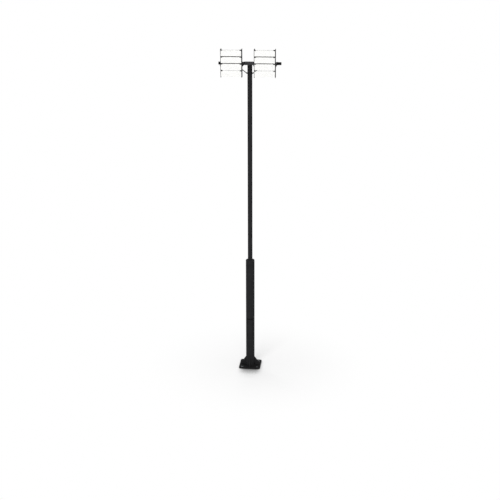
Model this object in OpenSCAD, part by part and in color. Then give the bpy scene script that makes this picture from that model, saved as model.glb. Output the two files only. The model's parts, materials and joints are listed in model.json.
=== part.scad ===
// Garden lamp post: a stepped round pole on a gusseted base plate, with a service
// door low down, and a crossbar that carries two tilting heads of four slats each.
// Millimetres. Origin at the middle of the underside of the base plate, +Z up,
// crossbar along X, heads and door to the front (-Y).

/* [Pole] */
// Height from the ground to the top of the square box
pole_h = 6000; // [4500:50:8000]
// Outside diameter of the lower tube
lower_d = 168.3; // [140:0.1:200]
// Wall of the lower tube
lower_wall = 5; // [4:0.5:8]
// Height of the step, from the ground
lower_h = 2220; // [1800:10:2800]
// Outside diameter of the upper tube
upper_d = 88.9; // [76:0.1:108]
// Wall of the upper tube
upper_wall = 4; // [3:0.5:6]
// Length of upper tube that stands inside the lower tube
upper_insert = 250; // [150:10:400]
// Thickness of the ring that closes the step
step_t = 12; // [8:1:20]
// Bevel on the outer edge of the step ring
step_bevel = 6; // [2:0.5:7]

/* [Base] */
// Side of the square base plate
plate_w = 420; // [380:5:520]
// Thickness of the base plate
plate_t = 20; // [15:1:30]
// Corner radius of the base plate
plate_corner_r = 35; // [10:1:45]
// Distance between anchor holes, along both sides
anchor_pitch = 300; // [280:5:320]
// Diameter of the anchor holes
anchor_hole_d = 26; // [18:1:33]
// Diameter of the cable hole through the base plate
cable_hole_d = 100; // [60:5:120]
// Height of the gussets above the plate
gusset_h = 160; // [120:5:260]
// Distance from the outer end of the gussets to the edge of the plate
gusset_edge = 16; // [8:1:40]
// Thickness of the gussets
gusset_t = 10; // [6:1:15]
// Height of the outer end of a gusset
gusset_toe = 14; // [6:1:30]

/* [Service door] */
// Height of the top edge of the door opening
hatch_top = 1005; // [800:5:1300]
// Height of the door opening
hatch_h = 400; // [300:10:500]
// Width of the door opening, measured straight across
hatch_w = 120; // [90:1:126]
// Corner radius of the door opening
hatch_corner_r = 14; // [6:1:20]
// Gap below the door leaf and on both sides of it
hatch_gap = 5; // [5:0.5:6]
// Gap above the door leaf
hatch_top_gap = 7; // [5:0.5:8]
// Depth of the frame behind the opening
frame_t = 6; // [4:0.5:10]
// How far the frame reaches behind the leaf
frame_lip = 10; // [9:1:12]
// Diameter of the hinge barrels
barrel_d = 10; // [8:0.5:14]
// Diameter of the hinge pins
hinge_pin_d = 5; // [4:0.5:6]
// Diameter of the door lock
lock_d = 22; // [16:1:26]

/* [Crossbar] */
// Outside diameter of the crossbar tube
crossbar_d = 53; // [48:0.5:60]
// Wall of the crossbar tube
crossbar_wall = 4; // [3:0.5:6]
// How far the crossbar and its end caps run out past the outer arms
crossbar_end = 73.2; // [20:0.2:250]
// How far the square box stands out past the crossbar tube on all sides
box_margin = 3.5; // [3.5:0.5:10]
// Gap between the ends of the square box and the inner arms
box_gap = 6.2; // [2:0.2:40]
// Wall of the square box
box_wall = 3; // [2:0.5:3]
// Height of the strut's lower bolt below the crossbar
strut_drop = 175; // [110:5:200]
// Distance of the strut's upper bolt from the pole axis
strut_reach = 236; // [190:2:300]
// Width of the strut bar
strut_w = 14; // [10:1:20]
// Thickness of the struts and of their lugs
strut_t = 6; // [4:1:8]

/* [Heads] */
// Distance of the heads' inner side plates from the pole axis
head_inner = 109.5; // [106:0.5:140]
// Width of one head over its side plates
head_w = 382; // [340:1:420]
// Depth of the side plates, front to back
side_depth = 120; // [90:2:140]
// Thickness of the side plates
side_t = 7; // [5:0.5:10]
// Reach of the arms, from the crossbar to the head pivot
arm_reach = 297; // [260:1:400]
// Height of the arms
arm_h = 50; // [36:1:56]
// Thickness of the arms
arm_t = 8; // [6:1:12]
// Distance from the top of the side plates down to the head pivot
pivot_down = 287; // [230:1:345]
// Diameter of the pivot bolts
pivot_d = 12; // [10:1:16]
// Tilt of the heads as set, top forward
head_tilt = 3; // [0:1:20]
// Height of one slat
slat_h = 107; // [90:1:130]
// Depth of a slat's tray
tray_depth = 18; // [12:1:30]
// Thickness of a slat's white front
lens_t = 4; // [3:0.5:6]
// Distance from the top of the side plates to the first slat
slat_top = 14; // [8:1:20]
// Distance from the last slat to the bottom of the side plates
slat_bottom = 16; // [8:1:24]
// Diameter of the tie rods, which lie in the gaps between the slats
rod_d = 12; // [8:0.5:16]
// Gap between a tie rod and the slats above and below it
rod_gap = 1; // [0.5:0.5:4]
// Length of the tabs that hold the slats
tab_l = 28; // [16:1:40]

/* [Hidden] */

$fn = 96;
coat = "#2b2b2d";
white = "#f7f7f5";
steel = "#8d9092";
black = "#151515";

// Gap between pieces that a weld joins, on the radius
weld_gap = 0.2;
// Gap between a running face and its seat
seat_gap = 0.3;
// Running clearance of a pin, on the radius
run_gap = 0.05;
// Extra length of a cutting shape past the face it cuts
over = 1;

lower_r = lower_d / 2;
lower_in_r = lower_r - lower_wall;
upper_r = upper_d / 2;
join_z = lower_h - step_t / 2;
gusset_head = 4;
box_w = crossbar_d + 2 * box_margin;
box_end_wall = 4;
box_z = pole_h - box_w;
crossbar_z = pole_h - box_w / 2;
cap_t = 6;
end_cap_t = 5;
end_cap_plug = 25;

hatch_mid_z = hatch_top - hatch_h / 2;
leaf_w = hatch_w - 2 * hatch_gap;
leaf_h = hatch_h - hatch_gap - hatch_top_gap;
leaf_drop = (hatch_top_gap - hatch_gap) / 2;
leaf_corner_r = hatch_corner_r - hatch_gap;
frame_r = lower_in_r - weld_gap;
leaf_in_r = frame_r + seat_gap;
hinge_angle = asin(hatch_w / 2 / lower_r);
strap_t = 3;
strap_angle = 16;
strap_start = 1.5;
strap_sink = 1.5;
strap_inset = 1;
hinge_stand = 1.5;
hinge_r = lower_r + barrel_d / 2 + hinge_stand;
barrel_gap = 0.5;
barrel_h = 20;
pin_proud = 1.25;
pin_rise = 1.5 * (barrel_h + barrel_gap) + pin_proud;
hinge_inset = 75;
hinge_rise = hatch_h / 2 - hinge_inset;
lock_angle = 27;
lock_proud = 3;
lock_depth = 10;
tongue = [9, 3, 34];

lug_l = 24;
lug_h = 24;
eye_d = 22;
bolt_d = 8;
bolt_head_d = 15;
bolt_head_h = 5;
strut_clear = 2;
strut_low = [upper_r + lug_l - eye_d / 2, crossbar_z - strut_drop];
strut_high = [strut_reach, crossbar_z - crossbar_d / 2 - eye_d / 2 - strut_clear];

arm_eye_wall = 5.5;
arm_eye_d = crossbar_d + 2 * arm_eye_wall;
head_outer = head_inner + head_w;
box_l = 2 * (head_inner - seat_gap - arm_t - box_gap);
crossbar_l = 2 * (head_outer + seat_gap + arm_t + crossbar_end);
slats = 4;
slat_pitch = slat_h + rod_d + 2 * rod_gap;
head_h = slat_top + slats * slat_pitch - rod_d - 2 * rod_gap + slat_bottom;
slat_l = head_w - 2 * side_t;
slat_inset = 3;
slat_front = side_depth / 2 - slat_inset;
tab_t = 3;
tab_h = 20;
tray_wall = 3;
pivot_head_d = 24;
pivot_nut_d = 21;
pivot_head_h = 8;
washer_t = 2;
rod_y = -slat_front + lens_t + tray_depth / 2;

function slat_z(i) = pivot_down - slat_top - i * slat_pitch;

// ---------------------------------------------------------------- shared shapes

module tube(r_out, r_in, h) {
    difference() {
        cylinder(r = r_out, h = h);
        translate([0, 0, -over]) cylinder(r = r_in, h = h + 2 * over);
    }
}

// Rectangle with round corners, centred
module round_rect(w, h, r) {
    square([w - 2 * r, h], center = true);
    square([w, h - 2 * r], center = true);
    for (x = [-1, 1], y = [-1, 1])
        translate([x * (w / 2 - r), y * (h / 2 - r)]) circle(r);
}

// Prism that runs out to the front through the tube wall at the door
module hatch_prism(w, h, r) {
    translate([0, 0, hatch_mid_z])
        rotate([90, 0, 0])
            linear_extrude(lower_r + over) round_rect(w, h, r);
}

// Flat outline in the side view, extruded along X from x0
module side_profile(x0, t) {
    translate([x0, 0, 0]) rotate([90, 0, 90]) linear_extrude(t) children();
}

// Sector of a ring about the pole axis, angles from the front, negative to the left
module ring_sector(r_in, r_out, a_from, a_to, h) {
    rotate([0, 0, -90 + a_from])
        rotate_extrude(angle = a_to - a_from)
            translate([r_in, 0]) square([r_out - r_in, h]);
}

// ---------------------------------------------------------------- base

module base_plate() {
    color(coat) difference() {
        linear_extrude(plate_t) round_rect(plate_w, plate_w, plate_corner_r);
        for (x = [-1, 1], y = [-1, 1])
            translate([x * anchor_pitch / 2, y * anchor_pitch / 2, -over])
                cylinder(d = anchor_hole_d, h = plate_t + 2 * over);
        translate([0, 0, -over]) cylinder(d = cable_hole_d, h = plate_t + 2 * over);
    }
}

module gusset(turn) {
    foot = plate_w / 2 - gusset_edge;
    color(coat) rotate([0, 0, turn]) difference() {
        translate([0, gusset_t / 2, plate_t]) rotate([90, 0, 0]) linear_extrude(gusset_t)
            polygon([
                [lower_in_r, 0], [foot, 0], [foot, gusset_toe],
                [lower_r + gusset_head, gusset_h], [lower_in_r, gusset_h]
            ]);
        cylinder(r = lower_r, h = plate_t + gusset_h + over);
    }
}

// ---------------------------------------------------------------- pole

module lower_tube() {
    color(coat) difference() {
        translate([0, 0, plate_t]) tube(lower_r, lower_in_r, lower_h - step_t - plate_t);
        hatch_prism(hatch_w, hatch_h, hatch_corner_r);
    }
}

// Frame welded inside the tube round the opening; the leaf shuts against it
module hatch_frame() {
    color(coat) difference() {
        intersection() {
            translate([0, 0, hatch_mid_z - hatch_h])
                tube(frame_r, frame_r - frame_t, 2 * hatch_h);
            hatch_prism(hatch_w + 2 * frame_lip, hatch_h + 2 * frame_lip, hatch_corner_r);
        }
        hatch_prism(hatch_w - 2 * frame_lip, hatch_h - 2 * frame_lip, leaf_corner_r);
    }
}

module step_ring() {
    color(coat) translate([0, 0, lower_h - step_t]) rotate_extrude()
        polygon([
            [upper_r + weld_gap, 0], [lower_r, 0], [lower_r, step_t - step_bevel],
            [lower_r - step_bevel, step_t], [upper_r + weld_gap, step_t]
        ]);
}

// Stretch of the upper tube from z_from to z_to; its two stretches join inside the ring
module upper_tube(z_from, z_to) {
    color(coat) translate([0, 0, z_from])
        tube(upper_r, upper_r - upper_wall, z_to - z_from);
}

module pole_cap() {
    color(coat) translate([0, 0, box_z - cap_t]) cylinder(r = upper_r, h = cap_t);
}

// ---------------------------------------------------------------- service door

module hinge_spots() {
    for (z = [-1, 1]) translate([0, 0, hatch_mid_z + z * hinge_rise]) children();
}

module at_hinge_axis() {
    rotate([0, 0, -hinge_angle]) translate([0, -hinge_r, 0]) children();
}

// Barrel at z0 with its strap along the outside of the tube, bored for the pin
module knuckle(z0, h, bore_d, strap_in_r, a_from, a_to) {
    translate([0, 0, z0]) difference() {
        union() {
            at_hinge_axis() cylinder(d = barrel_d, h = h);
            translate([0, 0, strap_inset])
                ring_sector(strap_in_r, lower_r + strap_t, a_from, a_to,
                            h - 2 * strap_inset);
        }
        at_hinge_axis() translate([0, 0, -over]) cylinder(d = bore_d, h = h + 2 * over);
    }
}

module hinge_leaves() {
    color(coat) hinge_spots() for (z = [-1.5, 0.5])
        knuckle(z * (barrel_h + barrel_gap), barrel_h, hinge_pin_d, lower_r,
                -hinge_angle - strap_angle, -hinge_angle - strap_start);
}

module hinge_pins() {
    color(steel) hinge_spots() at_hinge_axis() translate([0, 0, -pin_rise])
        cylinder(d = hinge_pin_d, h = 2 * pin_rise);
}

module door_leaf() {
    color(coat) {
        difference() {
            intersection() {
                translate([0, 0, hatch_mid_z - hatch_h])
                    tube(lower_r, leaf_in_r, 2 * hatch_h);
                translate([0, 0, -leaf_drop]) hatch_prism(leaf_w, leaf_h, leaf_corner_r);
            }
            at_lock() translate([0, 0, -over])
                cylinder(d = lock_d, h = lower_r + 2 * over);
        }
        hinge_spots()
            knuckle(-barrel_h / 2 + barrel_gap / 2, barrel_h - barrel_gap,
                    hinge_pin_d + 2 * run_gap, lower_r - strap_sink,
                    -hinge_angle + strap_start, -hinge_angle + strap_angle);
    }
}

// Places its children at the lock, with their Z pointing out of the pole
module at_lock() {
    translate([0, 0, hatch_mid_z]) rotate([90, 0, lock_angle]) children();
}

module door_lock() {
    color(steel) at_lock() {
        translate([0, 0, leaf_in_r - lock_depth])
            cylinder(d = lock_d - 2 * weld_gap, h = lower_wall + lock_depth + lock_proud);
        translate([-tongue[0] / 2, -tongue[2], leaf_in_r - lock_depth - tongue[1]])
            cube([tongue[0], tongue[2] + tongue[0] / 2, tongue[1]]);
    }
}

// ---------------------------------------------------------------- crossbar

module crossbar_box() {
    color(coat) translate([0, 0, crossbar_z]) difference() {
        cube([box_l, box_w, box_w], center = true);
        cube([box_l - 2 * box_end_wall, box_w - 2 * box_wall, box_w - 2 * box_wall],
             center = true);
        rotate([0, 90, 0])
            cylinder(d = crossbar_d + 2 * weld_gap, h = box_l + 2 * over, center = true);
    }
}

module crossbar_tube() {
    color(coat) translate([-crossbar_l / 2 + end_cap_t, 0, crossbar_z])
        rotate([0, 90, 0])
            tube(crossbar_d / 2, crossbar_d / 2 - crossbar_wall,
                 crossbar_l - 2 * end_cap_t);
}

module end_cap(side) {
    color(black) mirror([side, 0, 0]) translate([crossbar_l / 2, 0, crossbar_z])
        rotate([0, -90, 0]) {
            cylinder(d = crossbar_d, h = end_cap_t);
            cylinder(d = crossbar_d - 2 * crossbar_wall - 2 * weld_gap,
                     h = end_cap_t + end_cap_plug);
        }
}

// ---------------------------------------------------------------- struts

module plate_xz(y_mid, t) {
    translate([0, y_mid + t / 2, 0]) rotate([90, 0, 0]) linear_extrude(t) children();
}

module strut_lugs() {
    color(coat) for (side = [0, 1]) mirror([side, 0, 0]) {
        difference() {
            plate_xz(0, strut_t) difference() {
                union() {
                    translate([0, strut_low[1] - lug_h / 2])
                        square([strut_low[0], lug_h]);
                    translate(strut_low) circle(d = lug_h);
                }
                translate(strut_low) circle(d = bolt_d);
            }
            cylinder(r = upper_r, h = pole_h);
        }
        difference() {
            plate_xz(0, strut_t) difference() {
                union() {
                    translate([strut_high[0] - eye_d / 2, strut_high[1]])
                        square([eye_d, crossbar_z - strut_high[1]]);
                    translate(strut_high) circle(d = eye_d);
                }
                translate(strut_high) circle(d = bolt_d);
            }
            translate([0, 0, crossbar_z]) rotate([0, 90, 0])
                cylinder(d = crossbar_d, h = crossbar_l);
        }
    }
}

module strut(side) {
    run = strut_high - strut_low;
    color(coat) mirror([side, 0, 0]) plate_xz(-strut_t, strut_t) difference() {
        union() {
            for (p = [strut_low, strut_high]) translate(p) circle(d = eye_d);
            translate(strut_low) rotate(atan2(run[1], run[0]))
                translate([0, -strut_w / 2]) square([norm(run), strut_w]);
        }
        for (p = [strut_low, strut_high]) translate(p) circle(d = bolt_d);
    }
}

// Shank through strut and lug, with a head at each end
module strut_bolts() {
    grip = 2 * strut_t;
    color(steel) for (side = [0, 1], p = [strut_low, strut_high]) mirror([side, 0, 0])
        translate([p[0], strut_t / 2, p[1]]) rotate([90, 0, 0]) {
            translate([0, 0, -bolt_head_h]) cylinder(d = bolt_d, h = grip + 2 * bolt_head_h);
            translate([0, 0, -bolt_head_h]) cylinder(d = bolt_head_d, h = bolt_head_h, $fn = 6);
            translate([0, 0, grip]) cylinder(d = bolt_head_d, h = bolt_head_h, $fn = 6);
        }
}

// ---------------------------------------------------------------- arms

module arm(x0) {
    color(coat) translate([0, 0, crossbar_z]) side_profile(x0, arm_t) difference() {
        union() {
            circle(d = arm_eye_d);
            translate([-arm_reach, 0]) circle(d = arm_h);
            translate([-arm_reach, -arm_h / 2]) square([arm_reach, arm_h]);
        }
        circle(d = crossbar_d + 2 * weld_gap);
        translate([-arm_reach, 0]) circle(d = pivot_d);
    }
}

// Bolt through an arm and the side plate, head outside the arm; reach is along X
module pivot_bolt(x_arm, dir) {
    grip = arm_t + side_t + 2 * seat_gap;
    color(steel) translate([x_arm, -arm_reach, crossbar_z]) rotate([0, 90 * dir, 0]) {
        translate([0, 0, -pivot_head_h]) cylinder(d = pivot_head_d, h = pivot_head_h, $fn = 6);
        cylinder(d = pivot_d, h = grip + washer_t + pivot_head_h);
        translate([0, 0, grip]) cylinder(d = pivot_head_d, h = washer_t);
        translate([0, 0, grip + washer_t])
            cylinder(d = pivot_nut_d, h = pivot_head_h, $fn = 6);
    }
}

module pivot_bolts(side) {
    mirror([side, 0, 0]) {
        pivot_bolt(head_inner - seat_gap - arm_t, 1);
        pivot_bolt(head_outer + seat_gap + arm_t, -1);
    }
}

// ---------------------------------------------------------------- heads

// Children are drawn about the head pivot, then tilted and put in place
module head_frame(side) {
    mirror([side, 0, 0]) translate([head_inner, -arm_reach, crossbar_z])
        rotate([head_tilt, 0, 0]) children();
}

module slat_corners() {
    for (i = [0:slats - 1]) translate([0, 0, slat_z(i)]) children();
}

// Side plate from x0, with four tabs that reach over the slats
module side_plate(x0, tab_x) {
    side_profile(x0, side_t) difference() {
        translate([-side_depth / 2, pivot_down - head_h]) square([side_depth, head_h]);
        circle(d = pivot_d + 2 * run_gap);
    }
    slat_corners() translate([tab_x, -slat_front - tab_t, -tab_h / 2])
        cube([tab_l + side_t, tab_t, tab_h]);
}

module head_inner_side(side) {
    color(coat) head_frame(side) side_plate(0, 0);
}

module head_outer_side(side) {
    color(coat) head_frame(side) side_plate(head_w - side_t, head_w - side_t - tab_l);
}

module slat(side, i) {
    color(coat) head_frame(side)
        translate([side_t, -slat_front + lens_t, slat_z(i) - slat_h]) difference() {
            cube([slat_l, tray_depth, slat_h]);
            translate([tray_wall, -over, tray_wall])
                cube([slat_l - 2 * tray_wall, tray_depth - tray_wall + over,
                      slat_h - 2 * tray_wall]);
        }
}

module slat_fronts(side) {
    color(white) head_frame(side) slat_corners()
        translate([side_t, -slat_front, -slat_h]) cube([slat_l, lens_t, slat_h]);
}

module tie_rods(side) {
    color(coat) head_frame(side) for (i = [1, 2])
        translate([side_t, rod_y, slat_z(i) + rod_d / 2 + rod_gap])
            rotate([0, 90, 0]) cylinder(d = rod_d, h = slat_l);
}

// ---------------------------------------------------------------- nodes

base_plate();
gusset(-90);  // front_gusset
gusset(90);  // back_gusset
gusset(180);  // left_gusset
gusset(0);  // right_gusset
lower_tube();
hatch_frame();
hinge_leaves();
hinge_pins();
step_ring();
upper_tube(lower_h - upper_insert, join_z);  // upper_tube_foot
upper_tube(join_z, box_z - cap_t);
pole_cap();
crossbar_box();
crossbar_tube();
end_cap(1);  // left_end_cap
end_cap(0);  // right_end_cap
strut_lugs();
strut(1);  // left_strut
strut(0);  // right_strut
strut_bolts();
arm(-head_outer - seat_gap - arm_t);  // left_outer_arm
arm(-head_inner + seat_gap);  // left_inner_arm
arm(head_inner - seat_gap - arm_t);  // right_inner_arm
arm(head_outer + seat_gap);  // right_outer_arm
pivot_bolts(1);  // left_pivot_bolts
pivot_bolts(0);  // right_pivot_bolts
door_leaf();
door_lock();
head_outer_side(1);  // left_head_outer_side
head_inner_side(1);  // left_head_inner_side
slat(1, 0);  // left_slat_1
slat(1, 1);  // left_slat_2
slat(1, 2);  // left_slat_3
slat(1, 3);  // left_slat_4
slat_fronts(1);  // left_slat_fronts
tie_rods(1);  // left_tie_rods
head_inner_side(0);  // right_head_inner_side
head_outer_side(0);  // right_head_outer_side
slat(0, 0);  // right_slat_1
slat(0, 1);  // right_slat_2
slat(0, 2);  // right_slat_3
slat(0, 3);  // right_slat_4
slat_fronts(0);  // right_slat_fronts
tie_rods(0);  // right_tie_rods
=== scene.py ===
# Garden lamp post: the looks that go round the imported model, in metres and in its own frame
import json
import math

import bmesh
import bpy
from mathutils import Matrix, Vector

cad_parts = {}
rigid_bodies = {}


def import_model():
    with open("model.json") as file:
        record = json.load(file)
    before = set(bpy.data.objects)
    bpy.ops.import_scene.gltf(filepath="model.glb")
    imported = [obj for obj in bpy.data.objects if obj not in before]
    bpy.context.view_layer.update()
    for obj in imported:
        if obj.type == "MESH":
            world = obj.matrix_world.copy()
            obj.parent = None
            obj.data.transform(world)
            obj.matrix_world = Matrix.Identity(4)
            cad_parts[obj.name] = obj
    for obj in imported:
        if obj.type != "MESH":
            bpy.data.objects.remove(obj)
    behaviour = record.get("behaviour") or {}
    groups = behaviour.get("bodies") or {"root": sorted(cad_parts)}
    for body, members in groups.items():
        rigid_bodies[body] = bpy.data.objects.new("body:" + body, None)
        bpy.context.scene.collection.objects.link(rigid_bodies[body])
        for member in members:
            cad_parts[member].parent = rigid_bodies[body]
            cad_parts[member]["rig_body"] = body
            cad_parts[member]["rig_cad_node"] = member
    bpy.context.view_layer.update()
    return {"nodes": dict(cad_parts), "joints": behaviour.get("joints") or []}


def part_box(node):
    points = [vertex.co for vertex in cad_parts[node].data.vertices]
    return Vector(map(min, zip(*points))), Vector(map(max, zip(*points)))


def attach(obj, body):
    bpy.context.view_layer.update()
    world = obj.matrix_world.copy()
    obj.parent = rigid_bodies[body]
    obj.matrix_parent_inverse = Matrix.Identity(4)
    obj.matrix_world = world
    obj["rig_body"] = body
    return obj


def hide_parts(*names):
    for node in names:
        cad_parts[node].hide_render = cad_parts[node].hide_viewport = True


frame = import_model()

nodes = frame["nodes"]
mm = 0.001            # pieces and coats are in millimetres, the floor, lamps and camera in metres
touch = 1 * mm        # what lies this near counts as in place
past = 10 * mm        # how far a cutter runs on past the piece it cuts
overlap = 1 * mm      # how deep a piece starts inside the one it is joined to or cut from
merge = 0.01 * mm     # corners this near are one corner
facing = 0.9          # a face looks along an axis when its normal has more than this of it


# Leaves edit mode and deselects everything, because an operator acts on all that is selected
def clearSelection():
    if bpy.context.mode != "OBJECT":
        bpy.ops.object.mode_set(mode="OBJECT")
    bpy.ops.object.select_all(action="DESELECT")


def activate(piece):
    clearSelection()
    piece.select_set(True)
    bpy.context.view_layer.objects.active = piece


# Opens the piece in edit mode with only the faces, edges or verts that pass the test selected
def pick(piece, kind, test):
    activate(piece)
    bpy.ops.object.mode_set(mode="EDIT")
    bpy.context.tool_settings.mesh_select_mode = (kind == "verts", kind == "edges", kind == "faces")
    bpy.ops.mesh.select_all(action="DESELECT")
    shape = bmesh.from_edit_mesh(piece.data)
    for part in getattr(shape, kind):
        part.select_set(bool(test(part)))
    shape.select_flush_mode()
    bmesh.update_edit_mesh(piece.data)


def everything(part):
    return True


def middle(part):
    return sum((v.co for v in part.verts), Vector()) / len(part.verts)


# Picks the edges that run along one axis, given as 0, 1 or 2
def pickAlong(piece, axis):
    pick(piece, "edges", lambda e: abs(e.verts[0].co[axis] - e.verts[1].co[axis]) > touch)


def applyModifier(piece, kind, **settings):
    modifier = piece.modifiers.new(kind.title(), kind)
    for key, value in settings.items():
        setattr(modifier, key, value)
    activate(piece)
    bpy.ops.object.modifier_apply(modifier=modifier.name)


# Writes the object's place into its mesh, so that the object itself is at the origin
def applyPlace(piece):
    activate(piece)
    bpy.ops.object.transform_apply(location=True, rotation=True, scale=True)


# Merges doubled corners and turns every face to look outwards
def outward(piece):
    pick(piece, "faces", everything)
    bpy.ops.mesh.remove_doubles(threshold=merge)
    bpy.ops.mesh.normals_make_consistent(inside=False)
    activate(piece)


def addBlock(low, high):
    clearSelection()
    size = Vector(high) - Vector(low)
    bpy.ops.mesh.primitive_cube_add(size=1, location=(Vector(high) + Vector(low)) / 2, scale=size)
    block = bpy.context.object
    applyPlace(block)
    return block


# An upright cylinder on the Z axis, from one height to another
def addRound(radius, low, high, sides=48):
    clearSelection()
    bpy.ops.mesh.primitive_cylinder_add(vertices=sides, radius=radius, depth=high - low,
                                        location=(0, 0, (high + low) / 2))
    piece = bpy.context.object
    applyPlace(piece)
    return piece


# Puts a piece that was made along Z where the matrix says
def lay(piece, matrix):
    piece.matrix_world = matrix @ piece.matrix_world
    applyPlace(piece)
    return piece


def move(x, y, z):
    return Matrix.Translation((x, y, z))


alongX = Matrix.Rotation(math.radians(90), 4, "Y")      # +Z turned to +X
toFront = Matrix.Rotation(math.radians(90), 4, "X")     # +Z turned to -Y
upsideDown = Matrix.Rotation(math.pi, 4, "X")
mirrorX = Matrix.Scale(-1, 4, (1, 0, 0))
asDrawn = Matrix.Identity(4)


# Boolean of two pieces, which uses up the second
def combine(piece, other, operation):
    applyModifier(piece, "BOOLEAN", object=other, operation=operation, solver="EXACT")
    bpy.data.objects.remove(other)


def joinPieces(pieces):
    activate(pieces[0])
    for other in pieces[1:]:
        other.select_set(True)
    bpy.ops.object.join()
    return pieces[0]


# A copy with its own mesh, moved by the matrix
def copyTo(piece, matrix):
    twin = piece.copy()
    twin.data = piece.data.copy()
    bpy.context.scene.collection.objects.link(twin)
    twin.matrix_world = matrix @ piece.matrix_world
    applyPlace(twin)
    if matrix.is_negative:
        outward(twin)
    return twin


flatAngle = 0.5       # faces that turn less than this, in degrees, are one flat face


# A merged copy of a CAD node with its flat faces in one piece each, ready for a bevel
def copyNode(name):
    piece = nodes[name].copy()
    piece.data = nodes[name].data.copy()
    piece.parent = None
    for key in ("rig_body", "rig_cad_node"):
        if key in piece:
            del piece[key]
    bpy.context.scene.collection.objects.link(piece)
    activate(piece)
    bpy.ops.mesh.customdata_custom_splitnormals_clear()
    pick(piece, "faces", everything)
    bpy.ops.mesh.remove_doubles(threshold=merge)
    bpy.ops.mesh.dissolve_limited(angle_limit=math.radians(flatAngle))
    activate(piece)
    return piece


def roundEdges(piece, width, segments=2, angle=40):
    applyModifier(piece, "BEVEL", width=width * mm, segments=segments, limit_method="ANGLE",
                  angle_limit=math.radians(angle))


smoothAngle = 35      # an edge sharper than this, in degrees, stays sharp


# Names the piece, puts it at the origin, shades it, gives it its material, ties it to its body and hides
# the CAD nodes it stands in for
def settle(piece, name, body, material, replaced=(), weighted=True):
    applyPlace(piece)
    activate(piece)
    bpy.ops.object.shade_smooth_by_angle(angle=math.radians(smoothAngle))
    if weighted:
        applyModifier(piece, "WEIGHTED_NORMAL", keep_sharp=True)
    piece.name = name
    piece.data.name = name
    piece.data.materials.clear()
    piece.data.materials.append(material)
    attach(piece, body)
    if replaced:
        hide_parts(*replaced)
    return piece


# Gives CAD nodes that show as they are their material
def paint(material, *names):
    for name in names:
        for slot in nodes[name].material_slots:
            slot.material = material


# An sRGB hex value as a linear colour
def hexColor(text):
    shades = [int(text[i:i + 2], 16) / 255 for i in (1, 3, 5)]
    return [s / 12.92 if s <= 0.04045 else ((s + 0.055) / 1.055) ** 2.4 for s in shades] + [1.0]


# One node with its settings, its links by input, and its own choices such as an operation
def addNode(tree, kind, settings=None, links=None, **choices):
    node = tree.nodes.new(kind)
    for key, value in choices.items():
        setattr(node, key, value)
    for key, value in (settings or {}).items():
        node.inputs[key].default_value = value
    for key, source in (links or {}).items():
        tree.links.new(source, node.inputs[key])
    return node


def startMaterial(name):
    material = bpy.data.materials.new(name)
    material.use_nodes = True
    material.node_tree.nodes.clear()
    place = addNode(material.node_tree, "ShaderNodeTexCoord").outputs["Object"]
    return material, material.node_tree, place


mixA, mixB, mixResult = 6, 7, 2                         # a Mix node's colour sockets
cloudRange = {"From Min": 0.35, "From Max": 0.65}       # where the noise has most of its values


# Two shades clouded into each other, a roughness that wanders with them, and a fine relief
def addFinish(tree, place, look):
    cloud = addNode(tree, "ShaderNodeTexNoise", {"Scale": 1 / (look["cloud"] * mm), "Detail": 6.0,
                    "Roughness": 0.7}, {"Vector": place})
    spread = addNode(tree, "ShaderNodeMapRange", cloudRange, {"Value": cloud.outputs[0]})
    colour = addNode(tree, "ShaderNodeMix",
                     {mixA: hexColor(look["dark"]), mixB: hexColor(look["light"])},
                     {0: spread.outputs[0]}, data_type="RGBA")
    rough = addNode(tree, "ShaderNodeMapRange",
                    {**cloudRange, "To Min": look["rough"][0], "To Max": look["rough"][1]},
                    {"Value": cloud.outputs[0]})
    peel = addNode(tree, "ShaderNodeTexNoise", {"Scale": 1 / (look["grain"] * mm), "Detail": 2.0},
                   {"Vector": place})
    bump = addNode(tree, "ShaderNodeBump", {"Strength": 1.0, "Distance": look["depth"] * mm},
                   {"Height": peel.outputs[0]})
    return addNode(tree, "ShaderNodeBsdfPrincipled",
                   {"Metallic": look["metallic"], "Specular IOR Level": look["gloss"]},
                   {"Base Color": colour.outputs[mixResult], "Roughness": rough.outputs[0],
                    "Normal": bump.outputs[0]})


# Flakes of metal a centimetre across, each with its own shade and roughness
def addZinc(tree, place, look):
    flake = addNode(tree, "ShaderNodeTexVoronoi", {"Scale": 1 / (look["flake"] * mm), "Randomness": 1.0},
                    {"Vector": place})
    tone = addNode(tree, "ShaderNodeSeparateColor", links={0: flake.outputs["Color"]})
    colour = addNode(tree, "ShaderNodeMix",
                     {mixA: hexColor(look["dark"]), mixB: hexColor(look["light"])},
                     {0: tone.outputs[0]}, data_type="RGBA")
    rough = addNode(tree, "ShaderNodeMapRange", {"To Min": look["rough"][0], "To Max": look["rough"][1]},
                    {"Value": tone.outputs[1]})
    return addNode(tree, "ShaderNodeBsdfPrincipled", {"Metallic": 1.0},
                   {"Base Color": colour.outputs[mixResult], "Roughness": rough.outputs[0]})


def closeMaterial(tree, surface):
    addNode(tree, "ShaderNodeOutputMaterial", links={"Surface": surface.outputs[0]})


# anthracite polyester powder coat on steel, sprayed and baked with a fine texture: an even
# deep grey with a broad dull sheen and a grit that only shows close up, drawn 4 mm coarse
steelCoatLook = {"dark": "#1f1f20", "light": "#28282a", "cloud": 160, "rough": (0.60, 0.74),
                 "grain": 4.0, "depth": 0.6, "metallic": 0.0, "gloss": 0.1}
# the same coat on the base plate, painted darker: painted shade for the plate's top and edge, which lie
# in shade beside the pole and gussets
shadedPlateCoatLook = {"dark": "#131314", "light": "#1b1b1c", "cloud": 160, "rough": (0.62, 0.76),
                 "grain": 4.0, "depth": 0.6, "metallic": 0.0, "gloss": 0.1}
# the same coat on aluminium sheet and extrusion, which lies flatter: a finer, tighter grit,
# drawn 3 mm coarse
sheetCoatLook = {"dark": "#191a1b", "light": "#212122", "cloud": 90, "rough": (0.58, 0.70),
                 "grain": 3.0, "depth": 0.4, "metallic": 0.0, "gloss": 0.1}
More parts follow.
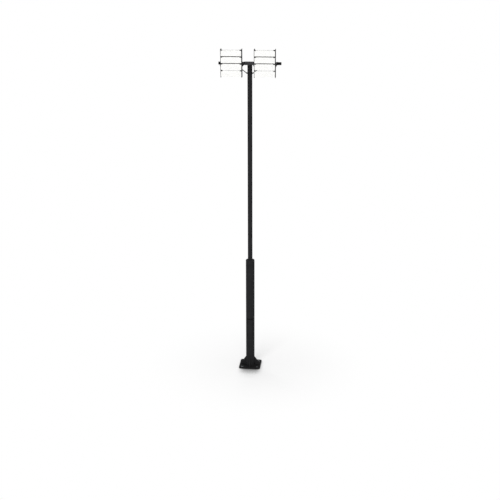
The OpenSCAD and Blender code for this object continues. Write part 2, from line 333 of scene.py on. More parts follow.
# the same coat on the flat box, painted a shade paler than on the tubes: painted light for the brighter
# light its flat front catches. Just as coarse
litBoxCoatLook = {"dark": "#39393b", "light": "#414143", "cloud": 70, "rough": (0.58, 0.68),
               "grain": 4.0, "depth": 0.6, "metallic": 0.0, "gloss": 0.25}
# the crossbar and the door's inner frame in matt near-black: almost no light comes back. On the frame it
# is painted shade, so that the gaps round the door read dark; the crossbar is drawn darker than the
# tubes
nearBlackShadeLook = {"dark": "#0c0c0d", "light": "#131314", "cloud": 90, "rough": (0.72, 0.82),
              "grain": 1.6, "depth": 0.15, "metallic": 0.0, "gloss": 0.12}
# opal acrylic, cast and satin on the face: milky white with no grain, a broad pale sheen
opalLook = {"dark": "#f8f8f6", "light": "#fcfcfa", "cloud": 60, "rough": (0.30, 0.38),
            "grain": 1.2, "depth": 0.01, "metallic": 0.0, "gloss": 0.45}
# glass-filled polyamide, injection moulded with a spark-eroded skin: dull black, fine grit
polyamideLook = {"dark": "#0e0e0f", "light": "#141414", "cloud": 25, "rough": (0.60, 0.75),
                 "grain": 0.9, "depth": 0.05, "metallic": 0.0, "gloss": 0.25}
# black rubber, the deepest black on the post, with no sheen and a faint chalky bloom: it makes the strip
# above the door, a dark piece that is painted shade for the dark line there
shadeRubberLook = {"dark": "#060607", "light": "#0b0b0c", "cloud": 18, "rough": (0.85, 0.95),
              "grain": 0.7, "depth": 0.03, "metallic": 0.0, "gloss": 0.1}
# black-passivated zinc on hardware steel: grey metal with a patchy, cloudy lustre
fastenerLook = {"dark": "#303133", "light": "#4a4c4f", "cloud": 7, "rough": (0.42, 0.58),
                "grain": 0.8, "depth": 0.01, "metallic": 1.0, "gloss": 0.5}
# hot-dip galvanised steel, left bare inside the tube and under the anchor washers: a cold pale
# grey in patches that each catch the light their own way
zincLook = {"flake": 9, "dark": "#74777a", "light": "#9da1a3", "rough": (0.38, 0.56)}


def plainMaterial(name, look):
    material, tree, place = startMaterial(name)
    closeMaterial(tree, addFinish(tree, place, look))
    return material


steelCoat = plainMaterial("mattPowderCoatOnSteel", steelCoatLook)
sheetCoat = plainMaterial("mattPowderCoatOnAluminium", sheetCoatLook)
litBoxCoat = plainMaterial("thickPowderCoatOnBox", litBoxCoatLook)
nearBlackShade = plainMaterial("mattBlackPrimer", nearBlackShadeLook)
opalAcrylic = plainMaterial("opalAcrylic", opalLook)
blackPolyamide = plainMaterial("mouldedBlackPolyamide", polyamideLook)
shadeRubber = plainMaterial("extrudedBlackRubber", shadeRubberLook)
darkZinc = plainMaterial("blackPassivatedZinc", fastenerLook)


# Closes a material that is coated, but bare zinc where the mask is 1
def mixBare(tree, place, coatLook, bare):
    mixed = addNode(tree, "ShaderNodeMixShader", links={
        0: bare.outputs[0], 1: addFinish(tree, place, coatLook).outputs[0],
        2: addZinc(tree, place, zincLook).outputs[0]})
    closeMaterial(tree, mixed)


# Powder coat outside and bare zinc inside: nearer to the pole axis than bareRadius it is bare
def tubeMaterial(bareRadius):
    material, tree, place = startMaterial("coatedTubeWithBareBore")
    flat = addNode(tree, "ShaderNodeVectorMath", {1: (1, 1, 0)}, {0: place}, operation="MULTIPLY")
    radius = addNode(tree, "ShaderNodeVectorMath", links={0: flat.outputs[0]}, operation="LENGTH")
    bare = addNode(tree, "ShaderNodeMath", {1: bareRadius}, {0: radius.outputs["Value"]},
                   operation="LESS_THAN")
    mixBare(tree, place, steelCoatLook, bare)
    return material


# Powder coat, painted darker as shade, with a bare ring round each anchor hole, where the washer seats
def plateMaterial(pitch, landRadius, landHeight):
    material, tree, place = startMaterial("coatedPlateWithBareLands")
    folded = addNode(tree, "ShaderNodeVectorMath", links={0: place}, operation="ABSOLUTE")
    offset = addNode(tree, "ShaderNodeVectorMath", {1: (-pitch / 2, -pitch / 2, 0)},
                     {0: folded.outputs[0]}, operation="ADD")
    flat = addNode(tree, "ShaderNodeVectorMath", {1: (1, 1, 0)}, {0: offset.outputs[0]},
                   operation="MULTIPLY")
    radius = addNode(tree, "ShaderNodeVectorMath", links={0: flat.outputs[0]}, operation="LENGTH")
    near = addNode(tree, "ShaderNodeMath", {1: landRadius}, {0: radius.outputs["Value"]},
                   operation="LESS_THAN")
    height = addNode(tree, "ShaderNodeSeparateXYZ", links={0: place})
    high = addNode(tree, "ShaderNodeMath", {1: landHeight}, {0: height.outputs["Z"]},
                   operation="GREATER_THAN")
    bare = addNode(tree, "ShaderNodeMath", links={0: near.outputs[0], 1: high.outputs[0]},
                   operation="MULTIPLY")
    mixBare(tree, place, shadedPlateCoatLook, bare)
    return material


print("materials ready")

# Places taken from the model
plateLow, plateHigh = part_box("base_plate")
boxLow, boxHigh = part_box("crossbar_box")
barLow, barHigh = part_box("crossbar_tube")
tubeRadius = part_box("lower_tube")[1].x
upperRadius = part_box("upper_tube")[1].x
barRadius = (barHigh.z - barLow.z) / 2
barZ = (barHigh.z + barLow.z) / 2
joints = {j["name"]: Vector(j["pos_m"]) for j in frame["joints"]}

# Round corners, four anchor holes with a bare land milled round each, and the cable hole
plateLook = {"corner": 35, "pitch": 300, "anchor": 26, "cable": 100, "land": 41, "landDepth": 0.6,
             "edge": 1.5, "cutTop": 40, "bareWider": 0.3, "bareDeeper": 0.2}


def drill(piece, x, y, radius, low, high, sides=48):
    cutter = addRound(radius, low, high, sides)
    cutter.location = (x, y, 0)
    applyPlace(cutter)
    combine(piece, cutter, "DIFFERENCE")


def makePlate(look):
    plate = addBlock(plateLow, plateHigh)
    pickAlong(plate, 2)
    bpy.ops.mesh.bevel(offset=look["corner"] * mm, segments=14, affect="EDGES")
    spots = [(x * look["pitch"] / 2 * mm, y * look["pitch"] / 2 * mm) for x in (-1, 1) for y in (-1, 1)]
    cutTop = look["cutTop"] * mm
    for x, y in spots:
        drill(plate, x, y, look["anchor"] / 2 * mm, -past, cutTop)
    drill(plate, 0, 0, look["cable"] / 2 * mm, -past, cutTop, sides=72)
    roundEdges(plate, look["edge"])
    for x, y in spots:
        drill(plate, x, y, look["land"] / 2 * mm, plateHigh.z - look["landDepth"] * mm, cutTop)
    bare = plateMaterial(look["pitch"] * mm, (look["land"] / 2 + look["bareWider"]) * mm,
                         plateHigh.z - (look["landDepth"] + look["bareDeeper"]) * mm)
    settle(plate, "bevelled_base_plate", "post", bare, ["base_plate"])


makePlate(plateLook)

gussetLook = {"head": 4, "toe": 14, "sink": 0.3, "edge": 1.2}


# One upright plate on +X, cut to its slope, then turned to the four sides
def makeGussets(look):
    low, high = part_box("right_gusset")
    low.x = tubeRadius - look["sink"] * mm
    gusset = addBlock(low, high)
    headX = tubeRadius + look["head"] * mm
    drop = high.z - low.z - look["toe"] * mm
    pick(gusset, "faces", everything)
    bpy.ops.mesh.bisect(plane_co=(headX, 0, high.z), plane_no=(drop, 0, high.x - headX),
                        use_fill=True, clear_outer=True)
    roundEdges(gusset, look["edge"])
    for name, turn in (("right", 0), ("back", 90), ("left", 180), ("front", 270)):
        side = copyTo(gusset, Matrix.Rotation(math.radians(turn), 4, "Z"))
        settle(side, f"bevelled_{name}_gusset", "post", steelCoat, [f"{name}_gusset"])
    bpy.data.objects.remove(gusset)


makeGussets(gussetLook)
print("base made")

dropLength = 0.9      # half the length of a drop, as a share of the pitch, so that they run together


# One flattened drop of weld metal, which is repeated along a ring or a line
def addDrop(at, along, radius, pitch):
    clearSelection()
    bpy.ops.mesh.primitive_uv_sphere_add(segments=8, ring_count=5, radius=radius)
    drop = bpy.context.object
    squeeze = [1, 1, 1]
    squeeze[along] = pitch * dropLength / radius
    drop.scale = squeeze
    drop.location = at
    applyPlace(drop)
    return drop


def weldRing(radius, z, size, pitch):
    count = round(2 * math.pi * radius / pitch)
    drop = addDrop((radius, 0, z), 1, size, pitch)
    pick(drop, "faces", everything)
    bpy.ops.mesh.spin(steps=count - 1, dupli=True, angle=2 * math.pi * (count - 1) / count,
                      center=(0, 0, z), axis=(0, 0, 1))
    activate(drop)
    return drop


def weldLine(start, end, size, pitch):
    start, end = Vector(start), Vector(end)
    run = end - start
    along = max(range(3), key=lambda i: abs(run[i]))
    count = max(2, round(run.length / pitch))
    drop = addDrop(start, along, size, pitch)
    applyModifier(drop, "ARRAY", count=count, use_relative_offset=False, use_constant_offset=True,
                  constant_offset_displace=run / (count - 1))
    return drop


baseWeldLook = {"size": 4.0, "pitch": 4.6, "gussetSize": 3.2, "gussetPitch": 3.8,
                "start": 4, "toeEnd": 3, "headEnd": 2}


# A ring round the foot of the pole, and a bead along both sides of each gusset's foot and back
def makeBaseWelds(look):
    low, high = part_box("right_gusset")
    start = look["start"] * mm
    size = look["gussetSize"] * mm
    pitch = look["gussetPitch"] * mm
    beads = [weldRing(tubeRadius, plateHigh.z, look["size"] * mm, look["pitch"] * mm)]
    for turn in range(4):
        for side in (low.y, high.y):
            foot = weldLine((tubeRadius + start, side, low.z),
                            (high.x - look["toeEnd"] * mm, side, low.z), size, pitch)
            wall = weldLine((tubeRadius, side, low.z + start),
                            (tubeRadius, side, high.z - look["headEnd"] * mm), size, pitch)
            for bead in (foot, wall):
                beads.append(copyTo(bead, Matrix.Rotation(math.radians(90 * turn), 4, "Z")))
                bpy.data.objects.remove(bead)
    settle(joinPieces(beads), "base_welds", "post", steelCoat, weighted=False)


makeBaseWelds(baseWeldLook)

stepWeldLook = {"size": 3.0, "pitch": 3.4}


# A ring where the upper tube comes out of the step ring
def makeStepWeld(look):
    bead = weldRing(upperRadius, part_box("step_ring")[1].z, look["size"] * mm, look["pitch"] * mm)
    settle(bead, "step_weld", "post", steelCoat, weighted=False)


makeStepWeld(stepWeldLook)
print("base and step welds made")

# What the corners are turned back with: angle, clearance round the corners, and how wide the
# flat face is against the distance across flats
hexagonLook = {"angle": 30, "round": 0.1, "face": 0.95}
halfSector = math.radians(30)      # half of one of a hexagon's six sectors


# Hexagon head or nut standing on its bearing face, its outer corners turned back to a circle
def addHexagon(corners, height, look):
    hexagon = lay(addRound(corners / 2, 0, height, sides=6), Matrix.Rotation(halfSector, 4, "Z"))
    reach = corners / 2 + look["round"] * mm
    face = look["face"] * corners / 2 * math.cos(halfSector)
    drop = (reach - face) * math.tan(math.radians(look["angle"]))
    lathe = addRound(reach, -overlap, height - drop, sides=40)
    pick(lathe, "faces", lambda f: f.normal.z > facing)
    bpy.ops.mesh.extrude_region_move(TRANSFORM_OT_translate={"value": (0, 0, drop)})
    bpy.ops.transform.resize(value=(face / reach, face / reach, 1), center_override=(0, 0, 0))
    combine(hexagon, lathe, "INTERSECT")
    return hexagon


# Bolt along Z: head below zero, then the sheets it grips, a washer if any, nut and thread end
def makeBolt(look):
    high = look["high"] * mm
    pieces = [lay(addHexagon(look["head"] * mm, high, hexagonLook), upsideDown)]
    foot = look["grip"] * mm
    if look["washer"]:
        washer = addRound(look["head"] / 2 * mm, foot, foot + look["washer"] * mm, sides=40)
        roundEdges(washer, look["rim"])
        pieces.append(washer)
        foot += look["washer"] * mm
    pieces.append(lay(addHexagon(look["nut"] * mm, high, hexagonLook), move(0, 0, foot)))
    top = foot + (look["high"] + look["proud"]) * mm
    shank = addRound(look["shank"] / 2 * mm, -overlap, top, sides=32)
    roundEdges(shank, look["tip"], segments=1)
    pieces.append(shank)
    return joinPieces(pieces)


# Both bolts of the right head, or of the right strut, then the same pair on the left
def settleBolts(bolt, spots, names, replaced):
    for name, side, nodeNames in zip(names, (asDrawn, mirrorX), replaced):
        pair = joinPieces([copyTo(bolt, side @ spot) for spot in spots])
        settle(pair, name, "post", darkZinc, nodeNames)
    bpy.data.objects.remove(bolt)


# M12 at the head pivots and M8 at the struts
pivotBoltLook = {"head": 24, "nut": 21, "high": 8, "grip": 15.6, "washer": 2, "shank": 12,
                 "proud": 1.5, "rim": 0.3, "tip": 1.0}
strutBoltLook = {"head": 15, "nut": 15, "high": 5, "grip": 12, "washer": 0, "shank": 8,
                 "proud": 2, "rim": 0.3, "tip": 1.0}

pivot = joints["right_head_tilt"]
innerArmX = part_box("right_inner_arm")[0].x
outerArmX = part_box("right_outer_arm")[1].x
settleBolts(makeBolt(pivotBoltLook),
            [move(innerArmX, pivot.y, pivot.z) @ alongX,
             move(outerArmX, pivot.y, pivot.z) @ mirrorX @ alongX],
            ["right_pivot_hardware", "left_pivot_hardware"],
            [["right_pivot_bolts"], ["left_pivot_bolts"]])

strutLook = {"eye": 22, "sheet": 6}
strutLow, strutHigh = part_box("right_strut")
strutEye = strutLook["eye"] / 2 * mm
settleBolts(makeBolt(strutBoltLook),
            [move(x, strutLook["sheet"] / 2 * mm, z) @ toFront
             for x, z in ((strutLow.x + strutEye, strutLow.z + strutEye),
                          (strutHigh.x - strutEye, strutHigh.z - strutEye))],
            ["right_strut_hardware", "left_strut_hardware"], [["strut_bolts"], []])
print("bolts made")

coatDepth = 4.7       # nearly through the tube's 5 mm wall, so that only the bore is bare
coatedTube = tubeMaterial(tubeRadius - coatDepth * mm)

# Pieces that keep the model's shape and get their edges broken: CAD node, how the new piece is
# named after it, body, radius of the edge, slot and material
edgeLook = [
    ("lower_tube", "rounded", "post", 1.5, "steel_coat", coatedTube),
    ("hinge_leaves", "rounded", "post", 0.5, "steel_coat", steelCoat),
    ("door_leaf", "rounded", "service_door", 0.8, "steel_coat", steelCoat),
    ("step_ring", "rounded", "post", 0.8, "steel_coat", steelCoat),
    ("strut_lugs", "rounded", "post", 0.8, "steel_coat", steelCoat),
    ("left_strut", "rounded", "post", 0.8, "steel_coat", steelCoat),
    ("right_strut", "rounded", "post", 0.8, "steel_coat", steelCoat),
    ("left_outer_arm", "rounded", "post", 1.2, "steel_coat", steelCoat),
    ("left_inner_arm", "rounded", "post", 1.2, "steel_coat", steelCoat),
    ("right_inner_arm", "rounded", "post", 1.2, "steel_coat", steelCoat),
    ("right_outer_arm", "rounded", "post", 1.2, "steel_coat", steelCoat),
    ("hinge_pins", "domed", "post", 1.0, "fastener_steel", darkZinc),
]
for nodeName, prefix, body, radius, slotName, finish in edgeLook:
    broken = copyNode(nodeName)
    roundEdges(broken, radius)
    settle(broken, f"{prefix}_{nodeName}", body, finish, [nodeName])

# Three-sided key pocket in the outer face of the lock. The angle is the lock's way round the pole
# from the front, floor and face are distances from the pole's axis.
lockLook = {"angle": 27, "pocket": 9, "floor": 83, "face": 90, "edge": 0.8}


def makeLock(look):
    lock = copyNode("door_lock")
    roundEdges(lock, look["edge"])
    low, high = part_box("door_leaf")
    turn = move(0, 0, (low.z + high.z) / 2) @ Matrix.Rotation(math.radians(look["angle"]), 4, "Z")
    pocket = addRound(look["pocket"] / math.sqrt(3) * mm, look["floor"] * mm, look["face"] * mm,
                      sides=3)
    combine(lock, lay(pocket, turn @ toFront), "DIFFERENCE")
    settle(lock, "keyed_door_lock", "service_door", darkZinc, ["door_lock"])


makeLock(lockLook)

boxLook = {"corner": 5.0, "bore": 26.7, "rim": 0.8}


# Square tube across the pole's top, which the round crossbar passes through
def makeCrossbarBox(look):
    box = addBlock(boxLow, boxHigh)
    pickAlong(box, 0)
    bpy.ops.mesh.bevel(offset=look["corner"] * mm, segments=6, affect="EDGES")
    bore = addRound(look["bore"] * mm, boxLow.x - past, boxHigh.x + past, sides=72)
    combine(box, lay(bore, move(0, 0, barZ) @ alongX), "DIFFERENCE")
    roundEdges(box, look["rim"])
    # its coat is painted a shade paler than the tubes: painted light
    settle(box, "rounded_crossbar_box", "post", litBoxCoat, ["crossbar_box"])


makeCrossbarBox(boxLook)

endCapLook = {"thick": 5, "edge": 1.5, "rim": 6, "dish": 1.5}


# Push-in plug: a rounded flange with a dished middle
def makeEndCaps(look):
    cap = addRound(barRadius, -look["thick"] * mm, 0, sides=72)
    roundEdges(cap, look["edge"], segments=3)
    pick(cap, "faces", lambda f: f.normal.z > facing and middle(f).xy.length < touch)
    bpy.ops.mesh.inset(thickness=look["rim"] * mm)
    bpy.ops.mesh.inset(thickness=look["dish"] * mm, depth=-look["dish"] * mm)
    lay(cap, move(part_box("right_end_cap")[1].x, 0, barZ) @ alongX)
    settle(copyTo(cap, mirrorX), "dished_left_end_cap", "post", blackPolyamide,
           ["left_end_cap"])
    settle(cap, "dished_right_end_cap", "post", blackPolyamide, ["right_end_cap"])


makeEndCaps(endCapLook)

barWeldLook = {"size": 1.8, "pitch": 2.2}


# A ring of weld at both faces of each arm and at the ends and the foot of the box
def makeBarWelds(look):
    seams = [boxLow.x, boxHigh.x]
    for name in ("left_outer_arm", "left_inner_arm", "right_inner_arm", "right_outer_arm"):
        low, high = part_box(name)
        seams += [low.x, high.x]
    ring = lay(weldRing(barRadius, 0, look["size"] * mm, look["pitch"] * mm), alongX)
    beads = [copyTo(ring, move(x, 0, barZ)) for x in seams]
    bpy.data.objects.remove(ring)
    beads.append(weldRing(upperRadius, boxLow.z, look["size"] * mm, look["pitch"] * mm))
    settle(joinPieces(beads), "crossbar_welds", "post", steelCoat, weighted=False)


makeBarWelds(barWeldLook)

# Tubes and rods that show just as they are modelled
paint(steelCoat, "upper_tube_foot", "upper_tube", "pole_cap", "left_tie_rods", "right_tie_rods")
# the near-black on the door's frame is painted shade in the gaps round the door
paint(nearBlackShade, "hatch_frame", "crossbar_tube")

shadeStripLook = {"above": 6.5, "high": 15, "thin": 0.6, "thick": 3.0, "half": 58, "edge": 0.4,
            "sink": 0.2, "cutTop": 50}


# Black rubber strip above the door, a wedge bent round the tube and thickest at its lower edge: a dark
# piece put there as painted shade for the dark line above the door
def makeShadeStrip(look):
    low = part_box("door_leaf")[1].z + look["above"] * mm
    clearSelection()
    bpy.ops.mesh.primitive_cone_add(vertices=96, radius1=tubeRadius + look["thick"] * mm,
                                    radius2=tubeRadius + look["thin"] * mm, depth=look["high"] * mm,
                                    location=(0, 0, low + look["high"] / 2 * mm))
    shadeStrip = bpy.context.object
    applyPlace(shadeStrip)
    bore = addRound(tubeRadius - look["sink"] * mm, low - past, low + look["cutTop"] * mm, sides=96)
    combine(shadeStrip, bore, "DIFFERENCE")
    side = look["half"] * mm
    # trims both ends, and all that is behind the middle of the tube
    for at, away in (((side, 0, 0), (1, 0, 0)), ((-side, 0, 0), (-1, 0, 0)), ((0, 0, 0), (0, 1, 0))):
        pick(shadeStrip, "faces", everything)
        bpy.ops.mesh.bisect(plane_co=at, plane_no=away, use_fill=True, clear_outer=True)
    outward(shadeStrip)
    roundEdges(shadeStrip, look["edge"])
    settle(shadeStrip, "door_drip_seal", "post", shadeRubber)


makeShadeStrip(shadeStripLook)
print("pole, door and crossbar made")

# The heads are drawn about their pivot, with the inner side plate at x = 0, top up, front to -Y
headLook = {
    "tilt": 3, "width": 382, "depth": 120, "above": 287, "below": 213,      # round the pivot
    "sheet": 7, "bore": 12.2, "corner": 3, "edge": 0.8,                     # side plates
    "tabLong": 35, "tabHigh": 20, "tabThick": 3,                            # tabs on the side plates
    "slats": 4, "slatHigh": 107, "pitch": 121, "first": 14, "front": 57,    # places of the slats
    "lens": 4, "lensEdge": 1.2,                                             # white fronts
    "tray": 18, "wall": 3, "trayEdge": 0.6, "groove": 1.0, "grooveWide": 2.5,   # slat trays
    "screwRows": (25, 82), "rodSlats": (1, 2), "rodRow": -7,                # rows down from a slat's top
    "screw": 9, "screwSink": 0.3, "screwHigh": 2.6, "screwRim": 0.4,
    "key": 4.6, "keyFloor": 1, "keyTop": 5,                                 # hexagon socket
}

headPlace = (move(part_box("right_head_inner_side")[0].x, pivot.y, pivot.z)
             @ Matrix.Rotation(math.radians(headLook["tilt"]), 4, "X"))
headSides = (("right", headPlace), ("left", mirrorX @ headPlace))
# Swaps the inner and the outer end of a head
swapEnds = move(headLook["width"] * mm, 0, 0) @ mirrorX


# Height of the top of a slat, counted from 0 at the top
def slatTop(look, i):
    return (look["above"] - look["first"] - i * look["pitch"]) * mm


# Side plate with a tab in front of each slat's upper edge, and the bore for the pivot bolt
def makeSidePlates(look):
    half = look["depth"] / 2 * mm
    front = -look["front"] * mm
    plate = addBlock((0, -half, -look["below"] * mm), (look["sheet"] * mm, half, look["above"] * mm))
    pickAlong(plate, 0)
    bpy.ops.mesh.bevel(offset=look["corner"] * mm, segments=4, affect="EDGES")
    for i in range(look["slats"]):
        top = slatTop(look, i)
        tab = addBlock((0, front - look["tabThick"] * mm, top - look["tabHigh"] / 2 * mm),
                       (look["tabLong"] * mm, front, top + look["tabHigh"] / 2 * mm))
        combine(plate, tab, "UNION")
    bore = addRound(look["bore"] / 2 * mm, -past, 2 * past, sides=40)
    combine(plate, lay(bore, alongX), "DIFFERENCE")
    roundEdges(plate, look["edge"])
    for side, place in headSides:
        for end, swap in (("inner", asDrawn), ("outer", swapEnds)):
            settle(copyTo(plate, place @ swap), f"folded_{side}_head_{end}_side", f"{side}_head",
                   sheetCoat, [f"{side}_head_{end}_side"])
    bpy.data.objects.remove(plate)


makeSidePlates(headLook)


# Extruded trough, open to the front behind the lens, with two screw ports along its back
def makeTrays(look):
    front = (-look["front"] + look["lens"]) * mm
    back = front + look["tray"] * mm
    top = slatTop(look, 0)
    bottom = top - look["slatHigh"] * mm
    tray = addBlock((look["sheet"] * mm, front, bottom),
                    ((look["width"] - look["sheet"]) * mm, back, top))
    # the back is split along both edges of each groove, and the strips between them pushed in
    for row in look["screwRows"]:
        for step in (-0.5, 0.5):
            pick(tray, "faces", lambda f: f.normal.y > facing)
            bpy.ops.mesh.bisect(plane_co=(0, 0, top - (row + step * look["grooveWide"]) * mm),
                                plane_no=(0, 0, 1))
    rows = [top - row * mm for row in look["screwRows"]]
    pick(tray, "faces",
         lambda f: f.normal.y > facing and min(abs(middle(f).z - z) for z in rows) < touch)
    bpy.ops.mesh.extrude_region_move(TRANSFORM_OT_translate={"value": (0, -look["groove"] * mm, 0)})
    # the front is inset by the wall and pushed back to the floor of the trough
    pick(tray, "faces", lambda f: f.normal.y < -facing and middle(f).y < front + touch)
    bpy.ops.mesh.inset(thickness=look["wall"] * mm)
    bpy.ops.mesh.extrude_region_move(
        TRANSFORM_OT_translate={"value": (0, (look["tray"] - look["wall"]) * mm, 0)})
    outward(tray)
    roundEdges(tray, look["trayEdge"])
    for side, place in headSides:
        for i in range(look["slats"]):
            drop = move(0, 0, -i * look["pitch"] * mm)
            settle(copyTo(tray, place @ drop), f"{side}_head_tray_{i + 1}", f"{side}_head",
                   sheetCoat, [f"{side}_slat_{i + 1}"])
    bpy.data.objects.remove(tray)


makeTrays(headLook)


# The white fronts: one opal plate over each tray, the four of a head as one piece
def makeLenses(look):
    front = -look["front"] * mm
    top = slatTop(look, 0)
    lens = addBlock((look["sheet"] * mm, front, top - look["slatHigh"] * mm),
                    ((look["width"] - look["sheet"]) * mm, front + look["lens"] * mm, top))
    roundEdges(lens, look["lensEdge"], segments=3)
    for side, place in headSides:
        lenses = [copyTo(lens, place @ move(0, 0, -i * look["pitch"] * mm))
                  for i in range(look["slats"])]
        settle(joinPieces(lenses), f"{side}_head_lenses", f"{side}_head", opalAcrylic,
               [f"{side}_slat_fronts"])
    bpy.data.objects.remove(lens)


makeLenses(headLook)


# Button-head screws through the side plates into the trays' ports and the tie rods
def makeHeadScrews(look):
    screw = addRound(look["screw"] / 2 * mm, -look["screwSink"] * mm, look["screwHigh"] * mm, sides=28)
    pick(screw, "edges", lambda e: min(v.co.z for v in e.verts) > touch)
    bpy.ops.mesh.bevel(offset=(look["screwHigh"] - look["screwRim"]) * mm, segments=5, affect="EDGES")
    key = addRound(look["key"] / 2 * mm, look["keyFloor"] * mm, look["keyTop"] * mm, sides=6)
    combine(screw, key, "DIFFERENCE")
    lay(screw, mirrorX @ alongX)
    outward(screw)
    row = (-look["front"] + look["lens"] + look["tray"] / 2) * mm
    heights = [slatTop(look, i) - down * mm for i in range(look["slats"]) for down in look["screwRows"]]
    heights += [slatTop(look, i) - look["rodRow"] * mm for i in look["rodSlats"]]
    screws = joinPieces([copyTo(screw, move(0, row, z)) for z in heights])
    for side, place in headSides:
        ends = [copyTo(screws, place), copyTo(screws, place @ swapEnds)]
        settle(joinPieces(ends), f"{side}_head_screws", f"{side}_head", darkZinc)
    bpy.data.objects.remove(screw)
    bpy.data.objects.remove(screws)


makeHeadScrews(headLook)
print("heads made")

# White is the paint, glow its own light, near and far where it turns into backdrop. Reach, depth,
# samples and lean shape the contact shadow, centre and wide keep it in front of the plate.
floorLook = {"size": 120, "plain": "#d9d9d8", "white": 0.82, "glow": 0.245, "near": 0.3, "far": 2.4,
             "reach": 0.4, "depth": 3.0, "samples": 16, "lean": (-0.05, 0.95, 0.15), "centre": 0.02,
             "wide": (0.11, 0.28)}


# Matt white studio floor. To the camera part of its white is its own, so the shadow on it stays
# pale, and from near to far away from the pole all of it is, like a backdrop. Close in front of
# the plate a contact shadow darkens it. To all other rays it is a plain pale floor.
def makeFloor(look):
    clearSelection()
    bpy.ops.mesh.primitive_plane_add(size=look["size"], location=(0, 0, 0))
    floor = bpy.context.object
    floor.name = "studio_floor"
    material, tree, place = startMaterial("mattWhiteFloor")
    lit = addNode(tree, "ShaderNodeBsdfDiffuse", {"Color": [look["white"]] * 3 + [1]})
    glow = addNode(tree, "ShaderNodeEmission", {"Strength": look["glow"]})
    foot = addNode(tree, "ShaderNodeAddShader", links={0: lit.outputs[0], 1: glow.outputs[0]})
    distance = addNode(tree, "ShaderNodeVectorMath", links={0: place}, operation="LENGTH")
    away = addNode(tree, "ShaderNodeMapRange", {"From Min": look["near"], "From Max": look["far"]},
                   {"Value": distance.outputs["Value"]}, interpolation_type="SMOOTHSTEP")
    backdrop = addNode(tree, "ShaderNodeEmission", {"Strength": 1.0})
    # the contact shadow: how much the object closes off the floor, kept close in front of the plate
    lean = addNode(tree, "ShaderNodeCombineXYZ", dict(zip("XYZ", Vector(look["lean"]).normalized())))
    clear = addNode(tree, "ShaderNodeAmbientOcclusion", {"Distance": look["reach"]},
                    {"Normal": lean.outputs[0]}, samples=look["samples"])
    kept = addNode(tree, "ShaderNodeMath", {1: look["depth"]}, {0: clear.outputs["AO"]},
                   operation="POWER")
    lost = addNode(tree, "ShaderNodeMath", {0: 1.0}, {1: kept.outputs[0]}, operation="SUBTRACT")
    across = addNode(tree, "ShaderNodeSeparateXYZ", links={0: place})
    shift = addNode(tree, "ShaderNodeMath", {1: look["centre"]}, {0: across.outputs["X"]},
                    operation="SUBTRACT")
    aside = addNode(tree, "ShaderNodeMath", links={0: shift.outputs[0]}, operation="ABSOLUTE")
    inFront = addNode(tree, "ShaderNodeMapRange", {"From Min": look["wide"][0],
                      "From Max": look["wide"][1], "To Min": 1.0, "To Max": 0.0},
                      {"Value": aside.outputs[0]}, interpolation_type="SMOOTHSTEP")
    shade = addNode(tree, "ShaderNodeMath", links={0: lost.outputs[0], 1: inFront.outputs[0]},
                    operation="MULTIPLY")
    dark = addNode(tree, "ShaderNodeEmission", {"Strength": 0.0})
    shaded = addNode(tree, "ShaderNodeMixShader", links={
        0: shade.outputs[0], 1: foot.outputs[0], 2: dark.outputs[0]})
    seen = addNode(tree, "ShaderNodeMixShader", links={
        0: away.outputs[0], 1: shaded.outputs[0], 2: backdrop.outputs[0]})
    # what the camera sees, and the plain floor that everything else sees
    plain = addNode(tree, "ShaderNodeBsdfDiffuse", {"Color": hexColor(look["plain"])})
    ray = addNode(tree, "ShaderNodeLightPath")
    mixed = addNode(tree, "ShaderNodeMixShader", links={
        0: ray.outputs["Is Camera Ray"], 1: plain.outputs[0], 2: seen.outputs[0]})
    closeMaterial(tree, mixed)
    floor.data.materials.append(material)


makeFloor(floorLook)

worldLook = {"fill": 0.45}


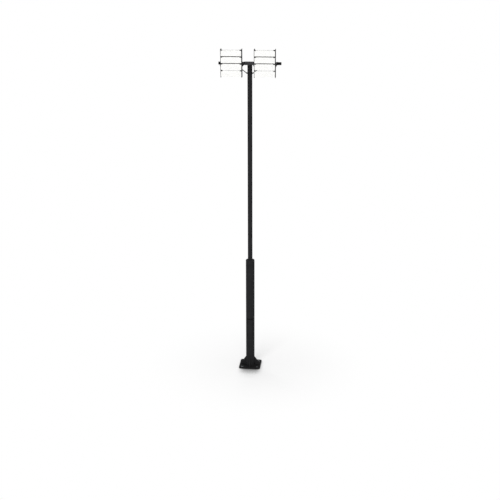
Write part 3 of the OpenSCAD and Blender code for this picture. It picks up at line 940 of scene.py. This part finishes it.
# White where it is seen or mirrored, dimmer where it lights the object
def makeWorld(look):
    world = bpy.data.worlds.new("studio")
    bpy.context.scene.world = world
    world.use_nodes = True
    tree = world.node_tree
    tree.nodes.clear()
    ray = addNode(tree, "ShaderNodeLightPath")
    first = addNode(tree, "ShaderNodeMath", links={0: ray.outputs["Is Camera Ray"],
                    1: ray.outputs["Is Glossy Ray"]}, operation="MAXIMUM")
    white = addNode(tree, "ShaderNodeMath", links={0: first.outputs[0],
                    1: ray.outputs["Is Transmission Ray"]}, operation="MAXIMUM")
    fill = addNode(tree, "ShaderNodeBackground", {"Color": (1, 1, 1, 1), "Strength": look["fill"]})
    seen = addNode(tree, "ShaderNodeBackground", {"Color": (1, 1, 1, 1), "Strength": 1.0})
    mixed = addNode(tree, "ShaderNodeMixShader", links={
        0: white.outputs[0], 1: fill.outputs[0], 2: seen.outputs[0]})
    addNode(tree, "ShaderNodeOutputWorld", links={"Surface": mixed.outputs[0]})


makeWorld(worldLook)

# Each lamp: where it stands, what it points at, its side length, its power, and whether it shines
# on glossy pieces
lampLook = {
    "key": {"at": (-3.5, -13.0, 10.0), "to": (0, 0, 2.5), "size": 6.0, "power": 850, "shine": True},
    "fill": {"at": (3.0, -16.0, 6.0), "to": (0, 0, 3.0), "size": 6.0, "power": 450, "shine": True},
    "back": {"at": (-3.0, 8.0, 9.0), "to": (0, 0, 1.0), "size": 9.0, "power": 500, "shine": False},
}


def makeLamps(look):
    for name, lamp in look.items():
        light = bpy.data.lights.new(name, "AREA")
        light.size = lamp["size"]
        light.energy = lamp["power"]
        stand = bpy.data.objects.new(name, light)
        bpy.context.scene.collection.objects.link(stand)
        stand.location = lamp["at"]
        aim = Vector(lamp["to"]) - Vector(lamp["at"])
        stand.rotation_euler = aim.to_track_quat("-Z", "Y").to_euler()
        stand.visible_camera = False
        stand.visible_glossy = lamp["shine"]


makeLamps(lampLook)

cameraLook = {"at": (1.773, -17.068, 7.964), "down": 17.92, "turn": 5.941, "roll": -0.1,
              "lens": 67.31, "sensor": 36}


def makeCamera(look):
    camera = bpy.data.cameras.new("camera")
    camera.lens = look["lens"]
    camera.sensor_width = look["sensor"]
    holder = bpy.data.objects.new("camera", camera)
    bpy.context.scene.collection.objects.link(holder)
    holder.matrix_world = (move(*look["at"])
                           @ Matrix.Rotation(math.radians(look["turn"]), 4, "Z")
                           @ Matrix.Rotation(math.radians(90 - look["down"]), 4, "X")
                           @ Matrix.Rotation(math.radians(look["roll"]), 4, "Z"))
    bpy.context.scene.camera = holder


makeCamera(cameraLook)
bpy.context.scene.view_settings.view_transform = "Standard"
print("scene ready")
